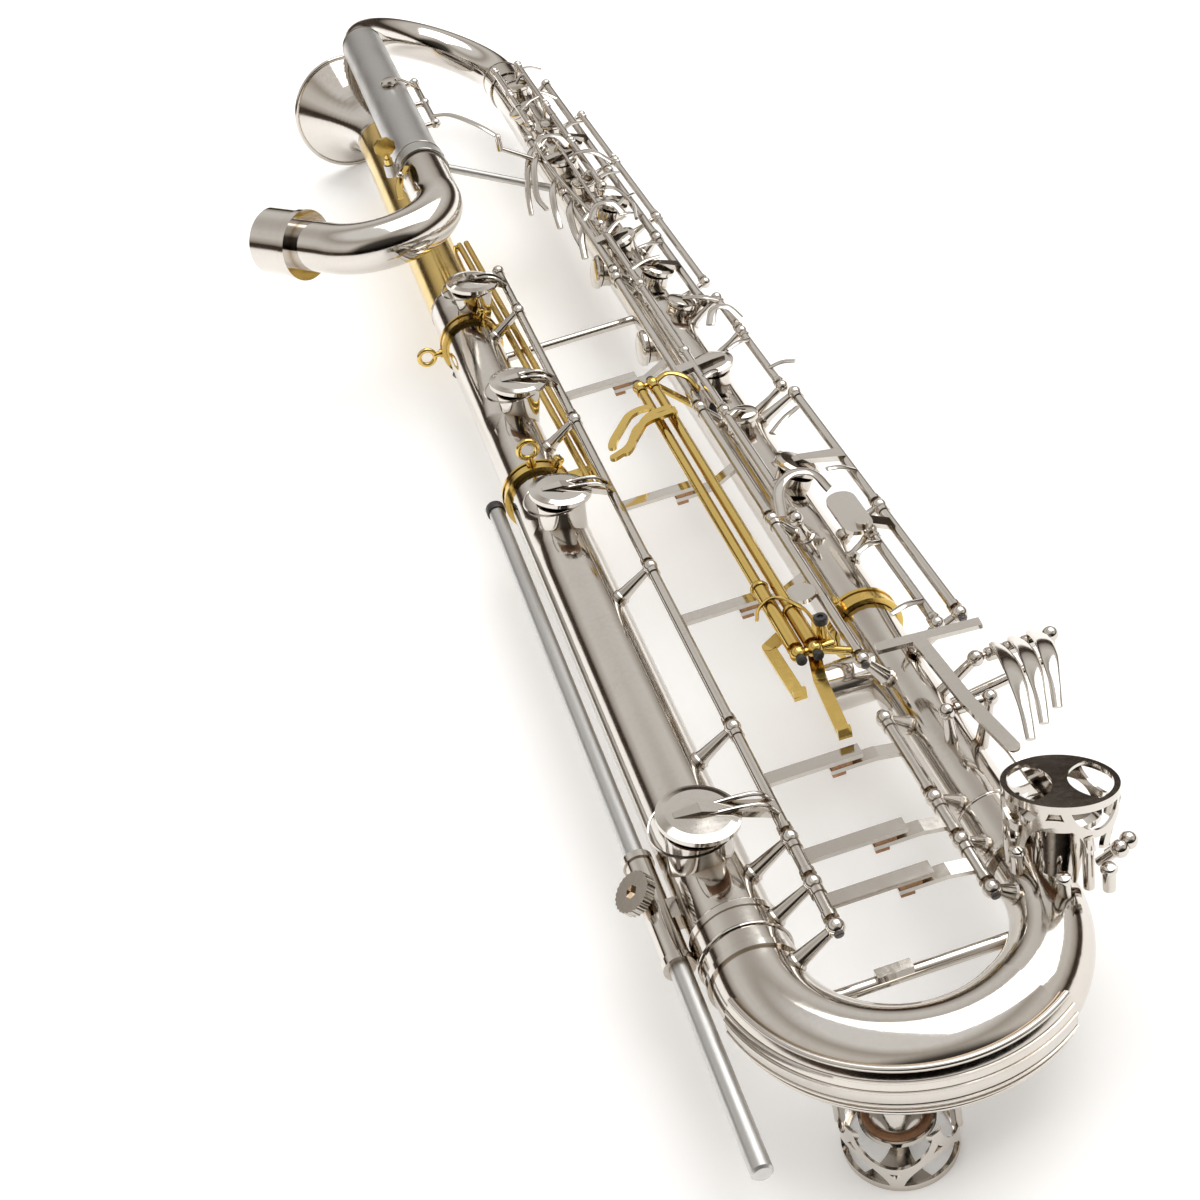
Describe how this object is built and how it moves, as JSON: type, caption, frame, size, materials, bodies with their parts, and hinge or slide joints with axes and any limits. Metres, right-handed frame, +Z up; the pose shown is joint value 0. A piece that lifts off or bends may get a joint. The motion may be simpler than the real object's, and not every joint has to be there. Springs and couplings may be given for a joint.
{
  "type": "contrabass clarinet",
  "caption": "Folded all-metal contrabass clarinet lying keys up: two long tubes joined by bows, neck with an open mouthpiece socket, flared bell, hinged keywork and a sliding endpin.",
  "frame": {"origin": "on the floor, under the middle of the whole instrument's length and width", "axes": "+Y along the two long tubes from the bottom bow to the bell, +Z up out of the keywork, +X to the main tube's side"},
  "size_m": [0.3274, 1.269, 0.1495],
  "materials": {
    "polished_plate": "polished warm nickel plate",
    "satin_plate": "satin plate",
    "gold_lacquer": "gold lacquered brass",
    "pad_leather": "brown leather"
  },
  "bodies": {
    "clarinet_body": {"bottom_bow": "polished_plate", "bow_guard": "polished_plate", "bell_tube": "polished_plate", "bell_sleeve": "gold_lacquer", "bell": "polished_plate", "main_tube": "polished_plate", "top_bow": "polished_plate", "upper_tube": "satin_plate", "endpin_receiver": "polished_plate", "left_hinge": "polished_plate", "inner_hinge": "polished_plate", "low_hinge": "polished_plate", "side_hinge": "polished_plate", "outer_hinge": "polished_plate", "upper_hinge": "polished_plate", "middle_brace": "polished_plate", "tube_clamps": "gold_lacquer", "brass_frame": "gold_lacquer", "linkage_rods": "gold_lacquer", "key_guard_1": "polished_plate", "key_guard_2": "polished_plate", "cross_axles": "polished_plate"},
    "neck": {"neck": "polished_plate"},
    "neck_screw": {"neck_screw": "gold_lacquer"},
    "endpin": {"endpin": "satin_plate"},
    "endpin_screw": {"endpin_screw": "polished_plate"},
    "left_key_1": {"left_key_1": "polished_plate", "left_pad_1": "pad_leather"},
    "left_key_2": {"left_key_2": "polished_plate", "left_pad_2": "pad_leather"},
    "left_key_3": {"left_key_3": "polished_plate", "left_pad_3": "pad_leather"},
    "left_key_4": {"left_key_4": "polished_plate", "left_pad_4": "pad_leather"},
    "link_lever_1": {"link_lever_1": "polished_plate"},
    "link_lever_2": {"link_lever_2": "polished_plate"},
    "link_lever_3": {"link_lever_3": "polished_plate"},
    "main_key_1": {"main_key_1": "polished_plate"},
    "lift_arm_1": {"lift_arm_1": "polished_plate"},
    "lift_arm_2": {"lift_arm_2": "polished_plate"},
    "lift_arm_3": {"lift_arm_3": "polished_plate"},
    "lift_arm_4": {"lift_arm_4": "polished_plate"},
    "lift_arm_5": {"lift_arm_5": "polished_plate"},
    "side_key_1": {"side_key_1": "polished_plate"},
    "side_key_2": {"side_key_2": "polished_plate"},
    "side_key_3": {"side_key_3": "polished_plate"},
    "outer_key_1": {"outer_key_1": "polished_plate"},
    "thumb_plate": {"thumb_plate": "polished_plate"},
    "upper_key_1": {"upper_key_1": "polished_plate"},
    "upper_key_2": {"upper_key_2": "polished_plate"},
    "low_key_1": {"low_key_1": "polished_plate", "low_pad_1": "pad_leather"},
    "low_key_2": {"low_key_2": "polished_plate", "low_pad_2": "pad_leather"},
    "brass_key_1": {"brass_key_1": "gold_lacquer"},
    "brass_key_2": {"brass_key_2": "gold_lacquer"},
    "finger_key_1": {"finger_key_1": "polished_plate"},
    "finger_key_2": {"finger_key_2": "polished_plate"},
    "finger_key_3": {"finger_key_3": "polished_plate"}
  },
  "joints": [
    {"name": "neck_turn", "type": "hinge", "parent": "clarinet_body", "child": "neck", "pos_m": [-0.02385, 0.23145, 0.1178], "axis": [0, 1, 0], "range_deg": [-15, 15]},
    {"name": "neck_screw_turn", "type": "hinge", "parent": "clarinet_body", "child": "neck_screw", "pos_m": [-0.04675, 0.24045, 0.1198], "axis": [0, 0, 1], "range_deg": [0, 360]},
    {"name": "endpin_slide", "type": "slide", "parent": "clarinet_body", "child": "endpin", "axis": [0, -1, 0], "range_m": [-0.1, 0.29]},
    {"name": "endpin_screw_turn", "type": "hinge", "parent": "clarinet_body", "child": "endpin_screw", "pos_m": [-0.06235, -0.48455, 0.0518], "axis": [-0.6, 0, 0.8], "range_deg": [0, 360]},
    {"name": "left_key_1_turn", "type": "hinge", "parent": "clarinet_body", "child": "left_key_1", "pos_m": [0.00115, 0.08745, 0.0768], "axis": [0, 1, 0], "range_deg": [-6, 0], "stiffness_Nm_per_rad": 0.05, "springref_deg": 22.92},
    {"name": "left_key_2_turn", "type": "hinge", "parent": "clarinet_body", "child": "left_key_2", "pos_m": [0.00115, -0.02655, 0.0768], "axis": [0, 1, 0], "range_deg": [-6, 0], "stiffness_Nm_per_rad": 0.05, "springref_deg": 22.92},
    {"name": "left_key_3_turn", "type": "hinge", "parent": "clarinet_body", "child": "left_key_3", "pos_m": [0.00115, -0.19055, 0.0768], "axis": [0, 1, 0], "range_deg": [-6, 0], "stiffness_Nm_per_rad": 0.05, "springref_deg": 22.92},
    {"name": "left_key_4_turn", "type": "hinge", "parent": "clarinet_body", "child": "left_key_4", "pos_m": [0.00115, -0.45755, 0.0768], "axis": [0, 1, 0], "range_deg": [-6, 0], "stiffness_Nm_per_rad": 0.05, "springref_deg": 22.92},
    {"name": "link_lever_1_turn", "type": "hinge", "parent": "clarinet_body", "child": "link_lever_1", "pos_m": [0.00115, -0.34655, 0.0768], "axis": [0, 1, 0], "range_deg": [-6, 0], "stiffness_Nm_per_rad": 0.03, "springref_deg": 22.92},
    {"name": "link_lever_2_turn", "type": "hinge", "parent": "clarinet_body", "child": "link_lever_2", "pos_m": [0.00115, -0.51155, 0.0768], "axis": [0, 1, 0], "range_deg": [-6, 0], "stiffness_Nm_per_rad": 0.03, "springref_deg": 22.92},
    {"name": "link_lever_3_turn", "type": "hinge", "parent": "clarinet_body", "child": "link_lever_3", "pos_m": [0.00115, -0.53955, 0.0768], "axis": [0, 1, 0], "range_deg": [-6, 0], "stiffness_Nm_per_rad": 0.03, "springref_deg": 22.92},
    {"name": "main_key_1_turn", "type": "hinge", "parent": "clarinet_body", "child": "main_key_1", "pos_m": [0.07215, -0.04355, 0.0798], "axis": [0, 1, 0], "range_deg": [0, 5.5], "stiffness_Nm_per_rad": 0.05, "springref_deg": -22.92},
    {"name": "lift_arm_1_turn", "type": "hinge", "parent": "clarinet_body", "child": "lift_arm_1", "pos_m": [0.07215, -0.20655, 0.0798], "axis": [0, 1, 0], "range_deg": [0, 5.5], "stiffness_Nm_per_rad": 0.03, "springref_deg": -22.92},
    {"name": "lift_arm_2_turn", "type": "hinge", "parent": "clarinet_body", "child": "lift_arm_2", "pos_m": [0.07215, -0.33755, 0.0798], "axis": [0, 1, 0], "range_deg": [0, 5.5], "stiffness_Nm_per_rad": 0.03, "springref_deg": -22.92},
    {"name": "lift_arm_3_turn", "type": "hinge", "parent": "clarinet_body", "child": "lift_arm_3", "pos_m": [0.06915, -0.46555, 0.0698], "axis": [0, 1, 0], "range_deg": [0, 6], "stiffness_Nm_per_rad": 0.03, "springref_deg": -22.92},
    {"name": "lift_arm_4_turn", "type": "hinge", "parent": "clarinet_body", "child": "lift_arm_4", "pos_m": [0.06915, -0.50855, 0.0698], "axis": [0, 1, 0], "range_deg": [0, 6], "stiffness_Nm_per_rad": 0.03, "springref_deg": -22.92},
    {"name": "lift_arm_5_turn", "type": "hinge", "parent": "clarinet_body", "child": "lift_arm_5", "pos_m": [0.06915, -0.53855, 0.0698], "axis": [0, 1, 0], "range_deg": [0, 6], "stiffness_Nm_per_rad": 0.03, "springref_deg": -22.92},
    {"name": "side_key_1_turn", "type": "hinge", "parent": "clarinet_body", "child": "side_key_1", "pos_m": [0.11715, 0.35345, 0.0718], "axis": [0, 1, 0], "range_deg": [-6, 0], "stiffness_Nm_per_rad": 0.05, "springref_deg": 22.92},
    {"name": "side_key_2_turn", "type": "hinge", "parent": "clarinet_body", "child": "side_key_2", "pos_m": [0.11715, 0.17745, 0.0718], "axis": [0, 1, 0], "range_deg": [-6, 0], "stiffness_Nm_per_rad": 0.05, "springref_deg": 22.92},
    {"name": "side_key_3_turn", "type": "hinge", "parent": "clarinet_body", "child": "side_key_3", "pos_m": [0.11715, 0.05545, 0.0718], "axis": [0, 1, 0], "range_deg": [-6, 0], "stiffness_Nm_per_rad": 0.05, "springref_deg": 22.92},
    {"name": "outer_key_1_turn", "type": "hinge", "parent": "clarinet_body", "child": "outer_key_1", "pos_m": [0.13015, -0.21255, 0.0728], "axis": [0, 1, 0], "range_deg": [-6, 0], "stiffness_Nm_per_rad": 0.05, "springref_deg": 22.92},
    {"name": "thumb_plate_turn", "type": "hinge", "parent": "clarinet_body", "child": "thumb_plate", "pos_m": [0.13015, -0.33255, 0.0728], "axis": [0, 1, 0], "range_deg": [-5, 0], "stiffness_Nm_per_rad": 0.05, "springref_deg": 22.92},
    {"name": "upper_key_1_turn", "type": "hinge", "parent": "clarinet_body", "child": "upper_key_1", "pos_m": [0.07415, 0.27545, 0.0778], "axis": [0, 1, 0], "range_deg": [0, 6], "stiffness_Nm_per_rad": 0.05, "springref_deg": -22.92},
    {"name": "upper_key_2_turn", "type": "hinge", "parent": "clarinet_body", "child": "upper_key_2", "pos_m": [0.07415, 0.14145, 0.0778], "axis": [0, 1, 0], "range_deg": [0, 6], "stiffness_Nm_per_rad": 0.05, "springref_deg": -22.92},
    {"name": "low_key_1_turn", "type": "hinge", "parent": "clarinet_body", "child": "low_key_1", "pos_m": [0.10165, -0.46055, 0.0848], "axis": [1, 0, 0], "range_deg": [-2.3, 0], "stiffness_Nm_per_rad": 0.05, "springref_deg": 22.92},
    {"name": "low_key_2_turn", "type": "hinge", "parent": "clarinet_body", "child": "low_key_2", "pos_m": [0.01321, -0.57873, 0.0178], "axis": [-0.9061, 0.4231, 0], "range_deg": [-5, 0], "stiffness_Nm_per_rad": 0.08, "springref_deg": 28.65},
    {"name": "brass_key_1_turn", "type": "hinge", "parent": "clarinet_body", "child": "brass_key_1", "pos_m": [0.04315, -0.25555, 0.0898], "axis": [0, 1, 0], "range_deg": [-4, 0], "stiffness_Nm_per_rad": 0.05, "springref_deg": 22.92},
    {"name": "brass_key_2_turn", "type": "hinge", "parent": "clarinet_body", "child": "brass_key_2", "pos_m": [0.05165, -0.25555, 0.0898], "axis": [0, 1, 0], "range_deg": [-4, 0], "stiffness_Nm_per_rad": 0.05, "springref_deg": 22.92},
    {"name": "finger_key_1_turn", "type": "hinge", "parent": "clarinet_body", "child": "finger_key_1", "pos_m": [0.13135, -0.42255, 0.0758], "axis": [1, 0, 0], "range_deg": [0, 5], "stiffness_Nm_per_rad": 0.05, "springref_deg": -22.92},
    {"name": "finger_key_2_turn", "type": "hinge", "parent": "clarinet_body", "child": "finger_key_2", "pos_m": [0.1407, -0.42255, 0.0758], "axis": [1, 0, 0], "range_deg": [0, 5], "stiffness_Nm_per_rad": 0.05, "springref_deg": -22.92},
    {"name": "finger_key_3_turn", "type": "hinge", "parent": "clarinet_body", "child": "finger_key_3", "pos_m": [0.15005, -0.42255, 0.0758], "axis": [1, 0, 0], "range_deg": [0, 5], "stiffness_Nm_per_rad": 0.05, "springref_deg": -22.92}
  ],
  "couplings": [
    {"joint": "left_key_2_turn", "follows": "main_key_1_turn", "ratio": -1.0882},
    {"joint": "left_key_3_turn", "follows": "lift_arm_1_turn", "ratio": -1.0882},
    {"joint": "link_lever_1_turn", "follows": "lift_arm_2_turn", "ratio": -1.0882},
    {"joint": "left_key_4_turn", "follows": "lift_arm_3_turn", "ratio": -1},
    {"joint": "link_lever_2_turn", "follows": "lift_arm_4_turn", "ratio": -1},
    {"joint": "link_lever_3_turn", "follows": "lift_arm_5_turn", "ratio": -1}
  ]
}
